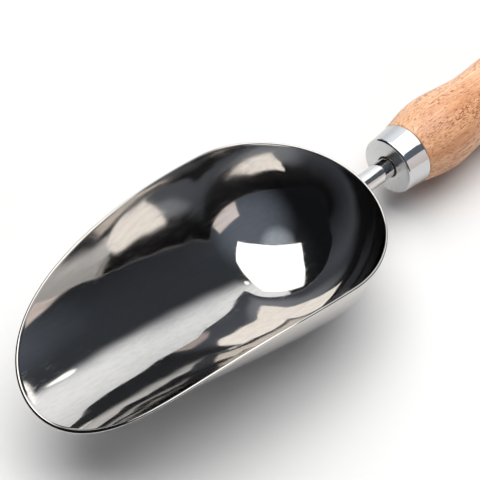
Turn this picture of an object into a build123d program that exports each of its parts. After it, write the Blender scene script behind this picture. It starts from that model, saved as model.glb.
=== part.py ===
"""Hand scoop for feed: a pressed stainless bowl, welded to a round steel rod that is glued into a turned
wooden handle behind a metal ferrule.

Every piece is drawn in the tool frame: X = 0 is the ferrule's front face, +X points to the bowl's lip,
and the rod runs along X at Z = 0. The finished tool is then laid down the way it rests: on the underside
of the bowl and on the handle's butt. The origin is the bottom centre of its bounding box. Millimetres.
"""
from build123d import *
from math import atan2, cos, degrees, radians, sin
import os

# --- driving dimensions -----------------------------------------------------------------------------

# Bowl: a surface of revolution about an axis that rises towards the lip, cut open by the rim line.
SHEET = 1.2
BOWL_TILT = 11.7             # rise of the revolve axis towards the lip, degrees
PIVOT_X = 115.0              # a point on the revolve axis
PIVOT_Z = 28.45
BACK_X = 26.0                # pole of the ball-shaped back, measured along the revolve axis
BACK_LENGTH = 50.3           # the back's semi-axis along the revolve axis
BACK_RADIUS = 49.8           # the back's radius, the largest of the bowl
WAIST = 13.1                 # loss of radius ahead of the back, per (100 mm)^2
FLARE = 8.8                  # gain of radius towards the lip, per (100 mm)^4
LIP_EASE = 1.8               # easing of that flare at the lip itself, per (100 mm)^6
FORM_END = 232.0             # the pressed form runs out past the lip before it is trimmed
RIM_HEIGHT = 26.0            # rim line over PIVOT_X, above the rod's axis
RIM_SLOPE = 7.4              # the rim line's further terms, per 100 mm, (100 mm)^2 and (100 mm)^3
RIM_ARCH = -17.6
RIM_DROP = -16.1
RIM_FROM, RIM_TO = -10.0, 250.0    # the trimming prism reaches past the form at both ends

# Rod and weld.
ROD_RADIUS = 5.0
TANG_END = -78.0             # the rod's end inside the handle
TANG_CHAMFER = 1.5
BOWL_BACK = 40.0             # a plane inside the ball-shaped back, where rod and weld are drawn to
WELD_LEG = 2.6               # width of the weld fillet round the rod
WELD_START = 26.0            # where the weld's fillet runs out on the rod

# Ferrule.
FERRULE_LENGTH = 13.0
FERRULE_FRONT = 14.4         # outer radius at the front face
FERRULE_BACK = 15.7          # outer radius where it meets the grip
FERRULE_WALL = 0.8
FERRULE_EDGE = 1.2           # rounding of the front edge
HOLE_RADIUS = 5.7            # the hole for the rod, with a little play

# Handle: stations measured back from the ferrule's front face.
BULB_AT, BULB_RADIUS = 34.0, 19.2
WAIST_AT, WAIST_RADIUS = 65.0, 16.6
PALM_AT, PALM_RADIUS = 104.0, 18.6
BUTT_AT = 136.0
BUTT_LENGTH, BUTT_RADIUS = 14.0, 17.8    # the rounded butt is half an ellipsoid
GRIP_RISE = 0.22             # slope of the grip as it leaves the ferrule
GRIP_FALL = 0.0              # slope of the grip as it meets the butt
BORE_RADIUS = 5.7
BORE_END = -82.0
RESIN_FACE = -1.6            # the resin stands this far behind the ferrule's front face

# Laying the tool down.
REST_STEPS = 6
MESH_TOLERANCE = 0.01

# Spans of the two curves that are drawn through points of a formula.
FRONT_SPANS = 6
RIM_SPANS = 12

STANDING = (Align.CENTER, Align.CENTER, Align.MIN)


# --- bowl -------------------------------------------------------------------------------------------

def form_radius(x):
    """Outer radius of the pressed form ahead of its back, x along the revolve axis."""
    ahead = (x - BACK_X - BACK_LENGTH) / 100.0
    return BACK_RADIUS - WAIST * ahead ** 2 + FLARE * ahead ** 4 - LIP_EASE * ahead ** 6


def rim_height(x):
    """Height of the rim line above the rod's axis."""
    u = (x - PIVOT_X) / 100.0
    return RIM_HEIGHT + RIM_SLOPE * u + RIM_ARCH * u ** 2 + RIM_DROP * u ** 3


def make_section(*edges):
    """Flat face in the XZ plane, closed by the given edges."""
    return make_face(Curve() + [Plane.XZ * edge for edge in edges])


def turned(*edges):
    """Solid turned about the X axis from a half outline whose second value is the radius."""
    return revolve(make_section(*edges), Axis.X)


def pressed_form(inset):
    """Solid bounded by the bowl's surface, drawn in by the sheet's thickness for the inside."""
    shoulder_x = BACK_X + BACK_LENGTH
    stations = [shoulder_x + (FORM_END - shoulder_x) * i / FRONT_SPANS for i in range(FRONT_SPANS + 1)]
    front_points = [(x, form_radius(x) - inset) for x in stations]
    back = EllipticalCenterArc((shoulder_x, 0), BACK_LENGTH - inset, BACK_RADIUS - inset, 90, arc_size=90)
    end_slope = form_radius(FORM_END) - form_radius(FORM_END - 1.0)
    front = Spline(*front_points, tangents=[(1, 0), (1, end_slope)])
    end = Line(front_points[-1], (FORM_END, 0))
    axis_line = Line((FORM_END, 0), (BACK_X + inset, 0))
    form = turned(back, front, end, axis_line)
    return Pos(PIVOT_X, 0, PIVOT_Z) * Rot(0, -BOWL_TILT, 0) * Pos(-PIVOT_X, 0, 0) * form


def below_rim():
    """Prism under the rim line, which trims the pressed form to the open bowl."""
    left, right = RIM_FROM, RIM_TO
    stations = [left + (right - left) * i / RIM_SPANS for i in range(RIM_SPANS + 1)]
    line = Spline(*[(x, rim_height(x)) for x in stations])
    low = min(rim_height(left), rim_height(right)) - BACK_RADIUS
    sides = Polyline(line @ 1, (right, low), (left, low), line @ 0)
    return extrude(make_section(line, sides), 2 * BACK_RADIUS, both=True)


def make_bowl():
    shell = pressed_form(0.0) - pressed_form(SHEET)
    return shell & below_rim()


# --- rod and weld -----------------------------------------------------------------------------------

def make_rod():
    """Round bar from the bowl's back into the handle, with a chamfered end."""
    length = BOWL_BACK - TANG_END
    bar = Pos(TANG_END, 0, 0) * Rot(0, 90, 0) * Cylinder(ROD_RADIUS, length, align=STANDING)
    bar = chamfer(bar.edges().sort_by(Axis.X)[0], TANG_CHAMFER)
    return bar - pressed_form(0.0)


def make_weld():
    """Hollow ring of weld between the rod and the ball-shaped back."""
    start = (WELD_START, ROD_RADIUS)
    crest = (WELD_START + WELD_LEG, ROD_RADIUS + WELD_LEG)
    hollow = RadiusArc(start, crest, -WELD_LEG)
    sides = Polyline(crest, (BOWL_BACK, ROD_RADIUS + WELD_LEG), (BOWL_BACK, ROD_RADIUS), start)
    return turned(hollow, sides) - pressed_form(0.0)


# --- ferrule ----------------------------------------------------------------------------------------

def ferrule_outline(inset):
    """Half outline of the ferrule's outer cone, or of its inside when drawn in by the wall."""
    slope = (FERRULE_BACK - FERRULE_FRONT) / FERRULE_LENGTH
    front = FERRULE_FRONT + slope * inset - inset
    back = FERRULE_BACK - inset
    return [(-inset, 0), (-inset, front), (-FERRULE_LENGTH, back), (-FERRULE_LENGTH, 0)]


def make_ferrule():
    """Pressed cap with a rounded front edge and a round hole in its flat face."""
    outer = turned(Polyline(*ferrule_outline(0.0), close=True))
    front_edge = outer.edges().filter_by(GeomType.CIRCLE).sort_by(Axis.X)[-1]
    outer = fillet(front_edge, FERRULE_EDGE)
    inside = turned(Polyline(*ferrule_outline(FERRULE_WALL), close=True))
    hole = Rot(0, 90, 0) * Cylinder(HOLE_RADIUS, 3 * FERRULE_LENGTH)
    return outer - inside - hole


# --- handle and adhesive ----------------------------------------------------------------------------

def make_handle():
    """Turned grip with a spigot that fills the ferrule and a blind bore for the tang."""
    (spigot_x, _), (_, spigot_front), (_, spigot_back), _ = ferrule_outline(FERRULE_WALL)
    butt_x = -(BUTT_AT - BUTT_LENGTH)
    grip = Spline((-FERRULE_LENGTH, FERRULE_BACK), (-BULB_AT, BULB_RADIUS), (-WAIST_AT, WAIST_RADIUS),
                  (-PALM_AT, PALM_RADIUS), (butt_x, BUTT_RADIUS), tangents=[(-1, GRIP_RISE), (-1, -GRIP_FALL)])
    butt_bend = (butt_x - BUTT_LENGTH * sin(radians(45)), BUTT_RADIUS * cos(radians(45)))
    butt = Spline((butt_x, BUTT_RADIUS), butt_bend, (-BUTT_AT, 0), tangents=[(-1, -GRIP_FALL), (0, -1)])
    sides = Polyline((-BUTT_AT, 0), (BORE_END, 0), (BORE_END, BORE_RADIUS), (spigot_x, BORE_RADIUS),
                     (spigot_x, spigot_front), (-FERRULE_LENGTH, spigot_back),
                     (-FERRULE_LENGTH, FERRULE_BACK))
    return turned(grip, butt, sides)


def make_adhesive():
    """Resin that fills the bore round and behind the tang, up to just inside the ferrule's hole."""
    length = RESIN_FACE - BORE_END
    plug = Pos(BORE_END, 0, 0) * Rot(0, 90, 0) * Cylinder(BORE_RADIUS, length, align=STANDING)
    return plug - make_rod()


# --- laying the tool down ---------------------------------------------------------------------------

def extent(shape, tilt):
    """Lowest X, highest X and lowest Z of a shape once the lip is lifted by the tilt, in degrees."""
    points, _ = (Rot(0, -tilt, 0) * shape).tessellate(MESH_TOLERANCE)
    xs = [point.X for point in points]
    zs = [point.Z for point in points]
    return min(xs), max(xs), min(zs)


def rest_tilt(bowl, handle):
    """Tilt at which the bowl's underside and the handle's butt touch one flat floor."""
    reach = BUTT_AT + BACK_X + BACK_LENGTH
    tilt = 0.0
    for _ in range(REST_STEPS):
        gap = extent(handle, tilt)[2] - extent(bowl, tilt)[2]
        tilt += degrees(atan2(gap, reach))
    return tilt


def main():
    pieces = {
        "scoop_bowl": make_bowl(),
        "neck_rod": make_rod(),
        "weld_fillet": make_weld(),
        "ferrule": make_ferrule(),
        "handle": make_handle(),
        "tang_adhesive": make_adhesive(),
    }
    bowl, handle = pieces["scoop_bowl"], pieces["handle"]
    tilt = rest_tilt(bowl, handle)
    butt_x, _, floor_z = extent(handle, tilt)
    _, lip_x, _ = extent(bowl, tilt)
    lay_down = Pos(-(butt_x + lip_x) / 2, 0, -floor_z) * Rot(0, -tilt, 0)
    print("lip lifted by", round(tilt, 3), "degrees; tool frame's origin at", lay_down.position)
    os.makedirs("parts", exist_ok=True)
    for name, piece in pieces.items():
        export_step(lay_down * piece, f"parts/{name}.step")


main()
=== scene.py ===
"""Looks of the hand scoop: mirror-polished pressed bowl, welded rod, bright ferrule and turned wooden grip.

The pieces are drawn in the tool frame, in millimetres: X = 0 is the ferrule's front face, +X points to the
lip and the rod runs along X. ORIGIN and REST_TILT say where that frame lies on the floor.
"""
import math

import bmesh
import bpy
import numpy as np
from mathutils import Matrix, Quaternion, Vector


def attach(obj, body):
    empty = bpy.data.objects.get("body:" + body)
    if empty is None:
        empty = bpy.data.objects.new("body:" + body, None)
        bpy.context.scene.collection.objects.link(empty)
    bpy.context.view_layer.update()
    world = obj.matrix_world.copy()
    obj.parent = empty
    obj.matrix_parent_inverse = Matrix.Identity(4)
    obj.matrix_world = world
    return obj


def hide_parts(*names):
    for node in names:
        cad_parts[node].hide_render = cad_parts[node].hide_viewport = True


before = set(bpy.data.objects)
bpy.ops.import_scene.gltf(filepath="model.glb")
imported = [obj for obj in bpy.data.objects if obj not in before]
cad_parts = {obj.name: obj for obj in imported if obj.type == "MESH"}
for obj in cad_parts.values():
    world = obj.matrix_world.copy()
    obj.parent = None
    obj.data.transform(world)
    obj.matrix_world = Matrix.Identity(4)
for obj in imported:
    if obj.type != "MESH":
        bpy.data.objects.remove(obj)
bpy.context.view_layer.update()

# --- the object's dimensions, millimetres ------------------------------------------------------------

SHEET = 1.2
BOWL_TILT = math.radians(11.7)
PIVOT = np.array([115.0, 0.0, 28.45])   # on the form's axis: it sees the whole of the pressed surface
BACK_X, BACK_LENGTH, BACK_RADIUS = 26.0, 50.3, 49.8
WAIST, FLARE, LIP_EASE = 13.1, 8.8, 1.8
FORM_REACH = 125.0                  # farther from the pivot than any point of the bowl
RIM_HEIGHT, RIM_SLOPE, RIM_ARCH, RIM_DROP = 26.0, 7.4, -17.6, -16.1
RIM_ROUND = 0.45                    # height of the polished round on the sheet's edge

ROD_RADIUS, TANG_END, TANG_CHAMFER = 5.0, -78.0, 1.5
WELD_LEG = 2.6

FERRULE_LENGTH, FERRULE_FRONT, FERRULE_BACK = 13.0, 14.4, 15.7
FERRULE_WALL, FERRULE_EDGE, HOLE_RADIUS, HOLE_EDGE = 0.8, 1.2, 5.7, 0.35

GRIP_STATIONS = [(13.0, 15.7), (34.0, 19.2), (65.0, 16.6), (104.0, 18.6), (122.0, 17.8)]
GRIP_RISE = 0.22
BUTT_AT = 136.0
BORE_END, RESIN_FACE = -82.0, -1.6

AROUND = 256                        # divisions round a turned piece
AXIS_PIN = 0.01                     # radius at which a turned outline meets the axis
HALVINGS = 44                       # steps of a bisection
MM = 0.001


# --- the tool frame ----------------------------------------------------------------------------------

ORIGIN = MM * np.array([-36.907, 0.0, 24.780])   # where the tool frame's origin lies in the row's frame
REST_TILT = math.radians(3.292)                 # the lip end is lifted by this when the scoop rests
ALONG = np.array([math.cos(REST_TILT), 0.0, math.sin(REST_TILT)])
UPRIGHT = np.cross(ALONG, [0.0, 1.0, 0.0])


def to_row(points):
    """Tool-frame millimetres to the row's frame in metres."""
    p = np.asarray(points, dtype=float)
    return ORIGIN + MM * (p[..., :1] * ALONG + p[..., 1:2] * [0.0, 1.0, 0.0] + p[..., 2:3] * UPRIGHT)


# --- mesh helpers --------------------------------------------------------------------------------------

def make_piece(name, points, faces, node, materials):
    """Smooth closed mesh that rides on the root body and stands for one CAD node."""
    mesh = bpy.data.meshes.new(name)
    mesh.from_pydata(to_row(points).tolist(), [], faces)
    work = bmesh.new()
    work.from_mesh(mesh)
    bmesh.ops.remove_doubles(work, verts=work.verts, dist=1e-7)
    bmesh.ops.recalc_face_normals(work, faces=work.faces)
    for face in work.faces:
        face.smooth = True
    work.to_mesh(mesh)
    work.free()
    for material in materials:
        mesh.materials.append(material)
    piece = bpy.data.objects.new(name, mesh)
    bpy.context.scene.collection.objects.link(piece)
    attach(piece, "root")
    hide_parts(node)
    return piece


def ring_faces(rings, around, closed=False):
    """Quads between successive rings of points, each ring closed on itself."""
    faces = []
    last = rings if closed else rings - 1
    for i in range(last):
        a, b = i * around, ((i + 1) % rings) * around
        for j in range(around):
            k = (j + 1) % around
            faces.append((a + j, a + k, b + k, b + j))
    return faces


def turn(outline, wobble=None):
    """Points and faces of an outline of (x, radius) turned about the X axis.

    The outline closes on itself. The wobble moves the turned points: it takes and gives x and radius.
    """
    profile = np.array(outline, dtype=float)
    angle = np.arange(AROUND) * (2 * math.pi / AROUND)
    x = np.repeat(profile[:, :1], AROUND, axis=1)
    radius = np.repeat(profile[:, 1:], AROUND, axis=1)
    if wobble is not None:
        x, radius = wobble(x, radius, angle)
    points = np.stack([x, radius * np.cos(angle), radius * np.sin(angle)], axis=-1)
    return points.reshape(-1, 3), ring_faces(len(profile), AROUND, closed=True)


def arc(centre, radius, start, end, steps):
    """Points (x, radius) of a round from the start to the end angle, in degrees."""
    angles = np.radians(np.linspace(start, end, steps + 1))
    return [(centre[0] + radius * math.cos(a), centre[1] + radius * math.sin(a)) for a in angles]


def bisect(function, low, high):
    """Where a function that grows from negative to positive crosses zero, for whole arrays at once."""
    for _ in range(HALVINGS):
        middle = (low + high) / 2
        inside = function(middle) < 0.0
        low = np.where(inside, middle, low)
        high = np.where(inside, high, middle)
    return (low + high) / 2


# --- the pressed bowl ----------------------------------------------------------------------------------

def depth_in_sheet(points, inset):
    """Negative inside the bowl's form, positive outside, zero on the surface drawn in by the inset."""
    c, s = math.cos(BOWL_TILT), math.sin(BOWL_TILT)
    p = points - PIVOT
    x = c * p[..., 0] + s * p[..., 2] + PIVOT[0]
    z = c * p[..., 2] - s * p[..., 0]
    radius = np.hypot(p[..., 1], z)
    ahead = x - BACK_X - BACK_LENGTH
    u = ahead / 100.0
    front = radius - (BACK_RADIUS - WAIST * u ** 2 + FLARE * u ** 4 - LIP_EASE * u ** 6 - inset)
    back = np.hypot(ahead / (BACK_LENGTH - inset), radius / (BACK_RADIUS - inset)) - 1.0
    return np.where(ahead < 0.0, back * (BACK_RADIUS - inset), front)


def rim_height(x):
    u = (x - PIVOT[0]) / 100.0
    return RIM_HEIGHT + RIM_SLOPE * u + RIM_ARCH * u ** 2 + RIM_DROP * u ** 3


def rim_points(inset, around):
    """Where the rim line's height meets the surface, all the way round the bowl."""
    angle = np.arange(around) * (2 * math.pi / around)
    cos, sin = np.cos(angle), np.sin(angle)

    def at(reach):
        x = PIVOT[0] + reach * cos
        return np.stack([x, reach * sin, rim_height(x) - RIM_ROUND], axis=-1)

    shortest = 5.0
    reach = bisect(lambda r: depth_in_sheet(at(r), inset),
                   np.full(around, shortest), np.full(around, FORM_REACH))
    return at(reach)


def below_pivot(inset):
    """The surface's point straight below the pivot."""
    depth = bisect(lambda t: depth_in_sheet(PIVOT - t[..., None] * [0, 0, 1.0], inset),
                   np.zeros(1), np.full(1, FORM_REACH))[0]
    return PIVOT - [0, 0, depth]


def bowl_rings(inset, around, rings):
    """Rings of points on the surface, evenly spaced from below the pivot (left out) up to the rim."""
    rim = rim_points(inset, around) - PIVOT
    rim /= np.linalg.norm(rim, axis=-1, keepdims=True)
    down = np.array([0.0, 0.0, -1.0])
    opening = np.arccos(rim @ down)[:, None]

    def at(turned):
        rays = np.sin(opening - turned)[..., None] * down + np.sin(turned)[..., None] * rim[:, None, :]
        rays /= np.linalg.norm(rays, axis=-1, keepdims=True)
        reach = bisect(lambda t: depth_in_sheet(PIVOT + t[..., None] * rays, inset),
                       np.zeros(turned.shape), np.full(turned.shape, FORM_REACH))
        return PIVOT + reach[..., None] * rays

    trial_steps = 300
    trial = opening * np.linspace(0.0, 1.0, trial_steps)
    steps = np.linalg.norm(np.diff(at(trial), axis=1), axis=-1)
    length = np.concatenate([np.zeros((around, 1)), np.cumsum(steps, axis=1)], axis=1)
    wanted = np.linspace(0.0, 1.0, rings + 1)[1:]
    even = np.array([np.interp(wanted * l[-1], l, t) for l, t in zip(length, trial)])
    return np.swapaxes(at(even), 0, 1)


def make_bowl(materials):
    """The sheet's inside, the polished round of its edge, and its outside, as one closed mesh."""
    around, rings, round_steps = 320, 110, 6
    inner = bowl_rings(SHEET, around, rings)
    outer = bowl_rings(0.0, around, rings)
    middle, half = (inner[-1] + outer[-1]) / 2, (outer[-1] - inner[-1]) / 2
    step = 0.1
    slope = (rim_height(middle[:, 0] + step) - rim_height(middle[:, 0] - step)) / (2 * step)
    up = np.stack([-slope, np.zeros(around), np.ones(around)], axis=-1)
    up /= np.linalg.norm(up, axis=-1, keepdims=True)
    angles = [math.pi * i / round_steps for i in range(1, round_steps)]
    edge = [middle - half * math.cos(a) + up * RIM_ROUND * math.sin(a) for a in angles]
    layers = list(inner) + edge + list(outer[::-1])
    faces = ring_faces(len(layers), around)
    inner_pole, outer_pole = len(layers) * around, len(layers) * around + 1
    last = (len(layers) - 1) * around
    for j in range(around):
        k = (j + 1) % around
        faces.append((inner_pole, k, j))
        faces.append((outer_pole, last + j, last + k))
    poles = [below_pivot(SHEET)[None, :], below_pivot(0.0)[None, :]]
    return make_piece("bowl_shell", np.concatenate(layers + poles), faces,
                      "scoop_bowl", materials)


# --- rod, weld, ferrule, resin -------------------------------------------------------------------------

def back_wall(y, z):
    """X of the bowl's outer surface behind it, at a height and a side from the rod's axis."""
    def gap(x):
        return -depth_in_sheet(np.stack([x, y, z], axis=-1), 0.0)

    inside_bowl = 75.0
    return bisect(gap, np.zeros(np.shape(y)), np.full(np.shape(y), inside_bowl))


def make_rod(materials):
    """Bar with a chamfered end in the grip; the other end is sunk a little into the bowl's back."""
    sunk = 0.25
    stations = [-70.0, -40.0, -20.0, -10.0, -4.0, 0.0, 6.0, 14.0, 22.0]
    outline = [(TANG_END, AXIS_PIN), (TANG_END, ROD_RADIUS - TANG_CHAMFER),
               (TANG_END + TANG_CHAMFER, ROD_RADIUS)]
    outline += [(x, ROD_RADIUS) for x in stations]
    points, _ = turn(outline)
    angle = np.arange(AROUND) * (2 * math.pi / AROUND)
    ends = []
    for radius in (ROD_RADIUS, ROD_RADIUS * 0.5, AXIS_PIN):
        y, z = radius * np.cos(angle), radius * np.sin(angle)
        ends.append(np.stack([back_wall(y, z) + sunk, y, z], axis=-1))
    points = np.concatenate([points] + ends)
    return make_piece("rod", points, ring_faces(len(outline) + len(ends), AROUND, closed=True),
                      "neck_rod", materials)


def make_weld(materials):
    """Hollow ring of weld whose toe follows the ball-shaped back, with the ripples of its passes."""
    angle = np.arange(AROUND) * (2 * math.pi / AROUND)
    ripple = 0.12 * np.sin(23 * angle) + 0.07 * np.sin(9 * angle + 1.0)
    leg = WELD_LEG * (1.0 + 0.08 * np.sin(3 * angle + 0.6)) + ripple

    def wall_point(radius):
        y, z = radius * np.cos(angle), radius * np.sin(angle)
        return np.stack([back_wall(y, z), y, z], axis=-1)

    corner = wall_point(np.full(AROUND, ROD_RADIUS))
    toe = wall_point(ROD_RADIUS + leg)
    start = corner - np.stack([leg, 0 * leg, 0 * leg], axis=-1)
    hollow = 0.8 * corner + 0.1 * (start + toe)
    steps, overlap = 10, 0.3
    rings = []
    for i in range(steps + 1):
        t = i / steps
        rings.append((1 - t) ** 2 * start + 2 * t * (1 - t) * hollow + t * t * toe)
    sink = np.array([0.4, 0.0, 0.0])
    rings.append(toe + sink)
    rings.append(wall_point(np.full(AROUND, ROD_RADIUS - overlap)) + sink)
    rings.append(start * [1.0, 1.0 - overlap / ROD_RADIUS, 1.0 - overlap / ROD_RADIUS])
    points = np.concatenate(rings)
    return make_piece("weld_ring", points, ring_faces(len(rings), AROUND, closed=True),
                      "weld_fillet", materials)


def make_ferrule(materials):
    """Hollow cap with a rounded hole, a flat front, a rounded front edge and a slightly tapered side."""
    slope = (FERRULE_BACK - FERRULE_FRONT) / FERRULE_LENGTH

    def outer_radius(x):
        return FERRULE_FRONT - slope * x

    edge_centre = (-FERRULE_EDGE, outer_radius(-FERRULE_EDGE) - FERRULE_EDGE)
    outline = [(-FERRULE_WALL, HOLE_RADIUS)]
    outline += arc((-HOLE_EDGE, HOLE_RADIUS + HOLE_EDGE), HOLE_EDGE, -90, 0, 5)
    outline += [(0.0, HOLE_RADIUS + 0.8), (0.0, 9.0), (0.0, edge_centre[1] - 0.5)]
    outline += arc(edge_centre, FERRULE_EDGE, 0, 84, 10)
    outline += [(x, outer_radius(x)) for x in (-2.0, -4.0, -7.0, -10.0, -12.2)]
    back_edge = 0.3
    outline += arc((-FERRULE_LENGTH + back_edge, FERRULE_BACK - back_edge), back_edge, 90, 180, 4)
    outline += [(-FERRULE_LENGTH, FERRULE_BACK - FERRULE_WALL),
                (-FERRULE_WALL, outer_radius(-FERRULE_WALL) - FERRULE_WALL)]
    points, faces = turn(outline)
    return make_piece("ferrule_cap", points, faces, "ferrule", materials)


def make_resin(materials):
    """Resin in the bore, with an uneven, slightly squeezed-out face in the ferrule's hole."""
    def uneven(x, radius, angle):
        lump = 0.35 * np.sin(angle * 2 + 0.4) + 0.25 * np.sin(angle * 5 + 2.0) + 0.12 * np.sin(angle * 11)
        front = x > RESIN_FACE - squeezed
        return np.where(front, x + squeezed + lump, x), radius

    squeezed, crown, deep = 0.5, 0.35, -20.0
    outline = [(BORE_END, AXIS_PIN), (BORE_END, HOLE_RADIUS), (deep, HOLE_RADIUS), (RESIN_FACE, HOLE_RADIUS),
               (RESIN_FACE + crown, (HOLE_RADIUS + ROD_RADIUS) / 2), (RESIN_FACE, ROD_RADIUS),
               (TANG_END, ROD_RADIUS), (TANG_END, AXIS_PIN)]
    points, faces = turn(outline, wobble=uneven)
    return make_piece("tang_resin", points, faces, "tang_adhesive", materials)


# --- the turned grip -----------------------------------------------------------------------------------

def grip_outline():
    """Outline of the grip from the ferrule to the butt: a smooth curve through the turner's stations."""
    at = np.array([s[0] for s in GRIP_STATIONS])
    radius = np.array([s[1] for s in GRIP_STATIONS])
    slope = np.gradient(radius, at)
    slope[0], slope[-1] = GRIP_RISE, 0.0
    slope[1] = slope[2] = slope[3] = 0.0
    steps, butt_steps, butt_turn = 18, 20, 89.0
    points = []
    for i in range(len(at) - 1):
        span = at[i + 1] - at[i]
        for t in np.linspace(0.0, 1.0, steps, endpoint=False):
            h00, h10 = 2 * t ** 3 - 3 * t ** 2 + 1, t ** 3 - 2 * t ** 2 + t
            h01, h11 = 3 * t ** 2 - 2 * t ** 3, t ** 3 - t ** 2
            r = h00 * radius[i] + h10 * span * slope[i] + h01 * radius[i + 1] + h11 * span * slope[i + 1]
            points.append((-(at[i] + t * span), r))
    length = BUTT_AT - at[-1]
    for a in np.radians(np.linspace(0, butt_turn, butt_steps)):
        points.append((-(at[-1] + length * math.sin(a)), radius[-1] * math.cos(a)))
    return points


def make_handle(materials):
    """Grip with a spigot under the ferrule, a fine groove beside it, and the bore for the tang."""
    groove = 0.22
    outline = [(-FERRULE_WALL, HOLE_RADIUS), (-FERRULE_WALL, FERRULE_FRONT - FERRULE_WALL),
               (-FERRULE_LENGTH, FERRULE_BACK - FERRULE_WALL),
               (-FERRULE_LENGTH - 0.02, FERRULE_BACK - groove - 0.25),
               (-FERRULE_LENGTH - groove, FERRULE_BACK - 0.12),
               (-FERRULE_LENGTH - 2 * groove, FERRULE_BACK + 0.04)]
    outline += grip_outline()[1:]
    outline += [(-BUTT_AT, AXIS_PIN), (BORE_END, AXIS_PIN), (BORE_END, HOLE_RADIUS)]
    points, faces = turn(outline)
    return make_piece("grip", points, faces, "handle", materials)


# --- materials -----------------------------------------------------------------------------------------

def linear(red, green, blue):
    """Linear colour from 0-255 display values."""
    def one(value):
        v = value / 255.0
        return v / 12.92 if v <= 0.04045 else ((v + 0.055) / 1.055) ** 2.4

    return (one(red), one(green), one(blue), 1.0)


class Nodes:
    """Short calls for building a node tree."""

    def __init__(self, tree):
        self.tree = tree
        tree.nodes.clear()

    def add(self, kind, **settings):
        """New node, with its settings."""
        node = self.tree.nodes.new(kind)
        for key, value in settings.items():
            setattr(node, key, value)
        return node

    def put(self, socket, value):
        """Link another node's output to the socket, or set the socket to a plain value."""
        if isinstance(value, bpy.types.NodeSocket):
            self.tree.links.new(value, socket)
        else:
            socket.default_value = value

    def math(self, operation, a, b):
        node = self.add("ShaderNodeMath", operation=operation)
        self.put(node.inputs[0], a)
        self.put(node.inputs[1], b)
        return node.outputs[0]

    def dot(self, vector, constant):
        node = self.add("ShaderNodeVectorMath", operation="DOT_PRODUCT")
        self.put(node.inputs[0], vector)
        self.put(node.inputs[1], tuple(constant))
        return node.outputs["Value"]

    def scale(self, colour, amount):
        node = self.add("ShaderNodeVectorMath", operation="SCALE")
        self.put(node.inputs[0], colour)
        self.put(node.inputs["Scale"], amount)
        return node.outputs[0]

    def add_colours(self, a, b):
        node = self.add("ShaderNodeVectorMath", operation="ADD")
        self.put(node.inputs[0], a)
        self.put(node.inputs[1], b)
        return node.outputs[0]

    def ramp(self, value, low, high, to_low=0.0, to_high=1.0):
        """Smooth step: to_low where the value is up to low, to_high where it is high or more."""
        node = self.add("ShaderNodeMapRange", interpolation_type="SMOOTHSTEP")
        self.put(node.inputs["Value"], value)
        self.put(node.inputs["From Min"], low)
        self.put(node.inputs["From Max"], high)
        self.put(node.inputs["To Min"], to_low)
        self.put(node.inputs["To Max"], to_high)
        return node.outputs["Result"]

    def mix(self, amount, a, b):
        """Colour a where the amount is 0, colour b where it is 1."""
        node = self.add("ShaderNodeMix", data_type="RGBA")
        self.put(node.inputs[0], amount)
        self.put(node.inputs[6], a)
        self.put(node.inputs[7], b)
        return node.outputs[2]

    def stretched(self, coordinates, scale, offset=(0.0, 0.0, 0.0)):
        node = self.add("ShaderNodeVectorMath", operation="MULTIPLY_ADD")
        self.put(node.inputs[0], coordinates)
        self.put(node.inputs[1], scale)
        self.put(node.inputs[2], offset)
        return node.outputs[0]

    def noise(self, coordinates, scale, detail, roughness=0.5, distortion=0.0):
        node = self.add("ShaderNodeTexNoise")
        self.put(node.inputs["Vector"], coordinates)
        node.inputs["Scale"].default_value = scale
        node.inputs["Detail"].default_value = detail
        node.inputs["Roughness"].default_value = roughness
        node.inputs["Distortion"].default_value = distortion
        return node.outputs["Fac"]

    def bump(self, height, strength, distance):
        node = self.add("ShaderNodeBump")
        self.put(node.inputs["Height"], height)
        node.inputs["Strength"].default_value = strength
        node.inputs["Distance"].default_value = distance
        return node.outputs["Normal"]

    def tool_coordinates(self):
        """Position in the tool frame, in metres."""
        place = self.add("ShaderNodeTexCoord").outputs["Object"]
        node = self.add("ShaderNodeCombineXYZ")
        shift = -float(np.dot(ORIGIN, ALONG))
        lift = -float(np.dot(ORIGIN, UPRIGHT))
        self.put(node.inputs[0], self.math("ADD", self.dot(place, ALONG), shift))
        self.put(node.inputs[1], self.dot(place, (0.0, 1.0, 0.0)))
        self.put(node.inputs[2], self.math("ADD", self.dot(place, UPRIGHT), lift))
        return node.outputs[0]


def new_material(name, colour, roughness, metallic=0.0):
    """Node material with a plain Principled shader. Returns the material, its nodes and the shader."""
    material = bpy.data.materials.new(name)
    material.use_nodes = True
    kit = Nodes(material.node_tree)
    shader = kit.add("ShaderNodeBsdfPrincipled")
    output = kit.add("ShaderNodeOutputMaterial")
    kit.put(output.inputs["Surface"], shader.outputs[0])
    shader.inputs["Base Color"].default_value = colour
    shader.inputs["Roughness"].default_value = roughness
    shader.inputs["Metallic"].default_value = metallic
    return material, kit, shader


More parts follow.
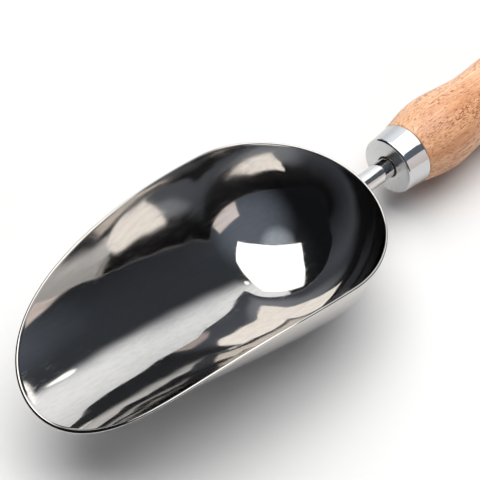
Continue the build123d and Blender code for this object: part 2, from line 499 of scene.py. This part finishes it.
def bowl_material():
    """Mirror-polished stainless steel: fine polishing lines along the bowl, smudges and a slow waviness."""
    bright, dull = (0.585, 0.56, 0.535, 1.0), (0.54, 0.52, 0.50, 1.0)
    material, kit, shader = new_material("polished_bowl", bright, 0.05, 1.0)
    place = kit.tool_coordinates()
    lines = kit.noise(kit.stretched(place, (14.0, 700.0, 700.0)), 1.0, detail=4.0, roughness=0.6)
    hairs = kit.noise(kit.stretched(place, (30.0, 2400.0, 2400.0)), 1.0, detail=2.0)
    smudge = kit.noise(place, 22.0, detail=3.0)
    worn = kit.math("ADD", kit.ramp(lines, 0.45, 0.72, 0.035, 0.10),
                    kit.ramp(smudge, 0.45, 0.75, 0.0, 0.03))
    split = kit.add("ShaderNodeSeparateXYZ")
    kit.put(split.inputs[0], place)
    # the right-hand wall is less finely buffed than the rest
    buffed = kit.ramp(split.outputs[1], -0.042, -0.026, 0.05, 0.0)
    kit.put(shader.inputs["Roughness"], kit.math("ADD", worn, buffed))
    waves = kit.noise(kit.stretched(place, (34.0, 60.0, 60.0)), 1.0, detail=1.0)
    # the waves are far longer than the lines, so they are far deeper too
    hair_depth, wave_depth = 0.4, 170.0
    height = kit.math("ADD", lines, kit.math("MULTIPLY", hairs, hair_depth))
    height = kit.math("ADD", height, kit.math("MULTIPLY", waves, wave_depth))
    kit.put(shader.inputs["Normal"], kit.bump(height, 0.5, 0.0000035))
    kit.put(shader.inputs["Base Color"], kit.mix(kit.ramp(lines, 0.35, 0.7), bright, dull))
    return material


def rod_material():
    """Bright drawn bar with faint turning marks round it."""
    material, kit, shader = new_material("polished_rod", (0.66, 0.65, 0.64, 1.0), 0.07, 1.0)
    place = kit.tool_coordinates()
    marks = kit.noise(kit.stretched(place, (2600.0, 60.0, 60.0)), 1.0, detail=2.0)
    kit.put(shader.inputs["Roughness"], kit.ramp(marks, 0.35, 0.7, 0.05, 0.12))
    kit.put(shader.inputs["Normal"], kit.bump(marks, 0.3, 0.000004))
    return material


def weld_material():
    """Brushed weld metal with straw-coloured heat tint."""
    material, kit, shader = new_material("ground_weld", (0.42, 0.40, 0.38, 1.0), 0.3, 1.0)
    place = kit.tool_coordinates()
    grains = kit.noise(place, 900.0, detail=4.0)
    heat = kit.noise(place, 160.0, detail=2.0)
    kit.put(shader.inputs["Base Color"],
            kit.mix(kit.ramp(heat, 0.4, 0.7), (0.50, 0.48, 0.46, 1.0), (0.34, 0.27, 0.19, 1.0)))
    kit.put(shader.inputs["Roughness"], kit.ramp(grains, 0.3, 0.7, 0.18, 0.42))
    kit.put(shader.inputs["Normal"], kit.bump(grains, 0.4, 0.00006))
    return material


def ferrule_material():
    """Bright pressed cap: mirror on its side, satin on its flat front."""
    material, kit, shader = new_material("bright_ferrule", (0.58, 0.585, 0.59, 1.0), 0.06, 1.0)
    place = kit.tool_coordinates()
    split = kit.add("ShaderNodeSeparateXYZ")
    kit.put(split.inputs[0], place)
    front = kit.ramp(split.outputs[0], -0.0004, -0.00005)
    swirl = kit.noise(kit.stretched(place, (900.0, 240.0, 240.0)), 1.0, detail=3.0)
    side = kit.ramp(swirl, 0.3, 0.75, 0.045, 0.10)
    satin = kit.ramp(swirl, 0.3, 0.7, 0.20, 0.28)
    rough = kit.math("ADD", kit.math("MULTIPLY", side, kit.math("SUBTRACT", 1.0, front)),
                     kit.math("MULTIPLY", satin, front))
    kit.put(shader.inputs["Roughness"], rough)
    kit.put(shader.inputs["Normal"], kit.bump(swirl, 0.25, 0.00001))
    return material


def resin_material():
    """Cloudy brown resin."""
    material, kit, shader = new_material("brown_resin", (0.10, 0.045, 0.018, 1.0), 0.35)
    place = kit.tool_coordinates()
    cloud = kit.noise(place, 700.0, detail=3.0)
    kit.put(shader.inputs["Base Color"],
            kit.mix(kit.ramp(cloud, 0.35, 0.65), (0.035, 0.018, 0.01, 1.0), (0.22, 0.10, 0.035, 1.0)))
    kit.put(shader.inputs["Normal"], kit.bump(cloud, 0.6, 0.0002))
    return material


def wood_material():
    """Turned hardwood: soft bands, fine grain and short red-brown pores that run along the grip."""
    material, kit, shader = new_material("turned_wood", linear(214, 162, 124), 0.36)
    place = kit.tool_coordinates()
    drift = kit.noise(kit.stretched(place, (9.0, 45.0, 45.0)), 1.0, detail=2.0, distortion=0.4)
    bands = kit.noise(kit.stretched(place, (7.0, 190.0, 190.0)), 1.0,
                      detail=5.0, roughness=0.6, distortion=0.3)
    grain = kit.noise(kit.stretched(place, (45.0, 1700.0, 1700.0)), 1.0, detail=3.0, roughness=0.6)
    colour = kit.mix(kit.ramp(drift, 0.35, 0.65), linear(240, 192, 152), linear(206, 150, 108))
    colour = kit.mix(kit.ramp(bands, 0.42, 0.64, 0.0, 0.55), colour, linear(192, 128, 84))
    colour = kit.mix(kit.ramp(grain, 0.42, 0.66, 0.0, 0.60), colour, linear(180, 114, 72))
    # pores are the peaks of a fine streaky noise, and they crowd together in places
    pores = kit.noise(kit.stretched(place, (420.0, 2100.0, 2100.0)), 1.0, detail=1.5, distortion=0.25)
    crowd = kit.noise(kit.stretched(place, (18.0, 150.0, 150.0), (3.0, 1.0, 2.0)), 1.0, detail=2.0)
    limit = kit.ramp(crowd, 0.35, 0.65, 0.62, 0.52)
    pore = kit.ramp(kit.math("SUBTRACT", pores, limit), 0.0, 0.05)
    colour = kit.mix(kit.math("MULTIPLY", pore, 0.85), colour, linear(132, 68, 38))
    kit.put(shader.inputs["Base Color"], colour)
    kit.put(shader.inputs["Roughness"], kit.ramp(grain, 0.3, 0.7, 0.30, 0.46))
    height = kit.math("SUBTRACT", kit.math("MULTIPLY", grain, 0.3), pore)
    kit.put(shader.inputs["Normal"], kit.bump(height, 0.5, 0.00012))
    return material


# --- studio --------------------------------------------------------------------------------------------

VIEW_AZIMUTH, VIEW_ELEVATION, VIEW_ROLL = 45.695, 52.879, 1.098
VIEW_DISTANCE, VIEW_LENS = 0.61823, 97.5
VIEW_AIM = Vector((0.03274, -0.02785, 0.00305))


def direction(azimuth, elevation):
    """Unit vector towards an azimuth and an elevation in degrees."""
    a, e = math.radians(azimuth), math.radians(elevation)
    return np.array([math.cos(e) * math.cos(a), math.cos(e) * math.sin(a), math.sin(e)])


class Studio:
    """World light: soft panels seen in given directions, in a dark room."""

    def __init__(self, room):
        world = bpy.data.worlds.new("studio")
        bpy.context.scene.world = world
        world.use_nodes = True
        self.kit = Nodes(world.node_tree)
        self.ray = self.kit.add("ShaderNodeTexCoord").outputs["Generated"]
        self.light = room

    def panel(self, corners, fades):
        """Mask of a flat panel with its corners in the given directions (azimuth, elevation), in order.

        Each edge, from one corner to the next, fades over its own angle, in radians.
        """
        kit = self.kit
        ways = [direction(*corner) for corner in corners]
        middle = sum(ways)
        mask = 1.0
        for start, end, fade in zip(ways, ways[1:] + ways[:1], fades):
            inwards = np.cross(start, end)
            inwards /= np.linalg.norm(inwards) * math.copysign(1.0, np.dot(inwards, middle))
            mask = kit.math("MULTIPLY", mask, kit.ramp(kit.dot(self.ray, inwards), -fade, fade))
        return mask

    def glow(self, azimuth, elevation, low, high):
        """Mask that grows towards one direction, between two values of the cosine of the angle to it."""
        return self.kit.ramp(self.kit.dot(self.ray, direction(azimuth, elevation)), low, high)

    def shine(self, mask, colour, power):
        """Add light where the mask is."""
        strength = self.kit.math("MULTIPLY", mask, power)
        self.light = self.kit.add_colours(self.light, self.kit.scale(colour, strength))

    def uneven_power(self, on_matt, in_mirrors):
        """Power of a lamp that lights matt surfaces more strongly than it looks in polished metal."""
        mirrored = self.kit.add("ShaderNodeLightPath").outputs["Is Glossy Ray"]
        return self.kit.ramp(mirrored, 0.0, 1.0, on_matt, in_mirrors)

    def block(self, mask):
        """Take away the light so far where the mask is."""
        self.light = self.kit.scale(self.light, self.kit.math("SUBTRACT", 1.0, mask))

    def finish(self, backdrop):
        """The camera sees the pale backdrop; everything else is lit by the panels."""
        kit = self.kit
        seen = kit.mix(kit.add("ShaderNodeLightPath").outputs["Is Camera Ray"], self.light, backdrop)
        background = kit.add("ShaderNodeBackground")
        kit.put(background.inputs["Color"], seen)
        output = kit.add("ShaderNodeOutputWorld")
        kit.put(output.inputs["Surface"], background.outputs[0])


def light_studio():
    """The room, dim and bluish, with a pale backdrop, a warm wall and one large softbox overhead."""
    white, neutral, warm = (1.0, 0.99, 0.97), (0.95, 0.98, 1.01), (0.90, 0.79, 0.73)
    crisp = 0.01
    studio = Studio((0.010, 0.011, 0.013))
    # a dim bluish wall to the viewer's right, and a ceiling that the softbox lights towards the viewer
    studio.shine(studio.glow(150.0, 60.0, 0.2, 1.0), (0.82, 0.95, 1.15), 0.05)
    studio.shine(studio.glow(90.0, 50.0, 0.6, 1.0), (0.80, 0.95, 1.20), 0.16)
    studio.shine(studio.glow(30.0, 76.0, 0.93, 1.0), (0.85, 0.95, 1.08), 0.42)
    # pale backdrop behind the tool, brighter towards its top, and a narrow grey panel beside it
    backdrop = [(-118.0, -3.0), (-118.0, 43.5), (-166.0, 50.0), (-172.0, 40.2), (-172.0, -3.0)]
    backdrop_power = studio.kit.ramp(studio.kit.dot(studio.ray, (0.0, 0.0, 1.0)), 0.15, 0.65, 0.98, 1.32)
    studio.shine(studio.panel(backdrop, (crisp, 0.012, 0.10, 0.25, 0.05)), neutral, backdrop_power)
    strip = [(-109.0, 6.0), (-109.0, 33.0), (-116.8, 34.0), (-116.8, 6.0)]
    studio.shine(studio.panel(strip, (crisp, crisp, crisp, crisp)), (1.0, 0.99, 0.98), 0.7)
    # warm wall to the viewer's right
    wall = [(91.0, -3.0), (94.4, 36.7), (128.2, 31.4), (128.2, -3.0)]
    studio.shine(studio.panel(wall, (0.02, 0.015, 0.015, 0.02)), warm, 0.95)
    # the softbox, its right far corner cut off, in a dark frame, and a small lamp beyond that corner
    softbox = [(-27.2, 59.5), (123.0, 51.0), (156.8, 50.2), (-145.1, 44.4), (-102.7, 40.1)]
    studio.block(studio.panel(softbox, (0.03, 0.03, 0.01, 0.03, 0.03)))
    studio.shine(studio.panel(softbox, (0.008, 0.008, 0.008, 0.008, 0.008)), white,
                 studio.uneven_power(4.8, 2.35))
    studio.shine(studio.glow(-168.5, 45.6, 0.9988, 0.9996), white, 1.6)
    studio.finish((1.0, 1.0, 1.0, 1.0))


def make_floor():
    half = 4.0
    mesh = bpy.data.meshes.new("floor")
    corners = [(-half, -half, 0.0), (half, -half, 0.0), (half, half, 0.0), (-half, half, 0.0)]
    mesh.from_pydata(corners, [], [(0, 1, 2, 3)])
    floor = bpy.data.objects.new("floor", mesh)
    bpy.context.scene.collection.objects.link(floor)
    material, _, shader = new_material("pale_floor", (0.70, 0.70, 0.70, 1.0), 0.9)
    shader.inputs["Specular IOR Level"].default_value = 0.0
    mesh.materials.append(material)


def make_camera():
    data = bpy.data.cameras.new("view")
    data.lens = VIEW_LENS
    data.sensor_width = 36.0
    data.clip_start, data.clip_end = 0.01, 50.0
    camera = bpy.data.objects.new("view", data)
    away = Vector(direction(VIEW_AZIMUTH, VIEW_ELEVATION))
    camera.location = VIEW_AIM + VIEW_DISTANCE * away
    roll = Quaternion((0.0, 0.0, 1.0), math.radians(VIEW_ROLL))
    camera.rotation_euler = (away.to_track_quat("Z", "Y") @ roll).to_euler()
    bpy.context.scene.collection.objects.link(camera)
    bpy.context.scene.camera = camera


def main():
    bpy.context.scene.view_settings.view_transform = "Standard"
    make_camera()
    light_studio()
    make_floor()
    make_bowl([bowl_material()])
    make_rod([rod_material()])
    make_weld([weld_material()])
    make_ferrule([ferrule_material()])
    make_resin([resin_material()])
    make_handle([wood_material()])


main()
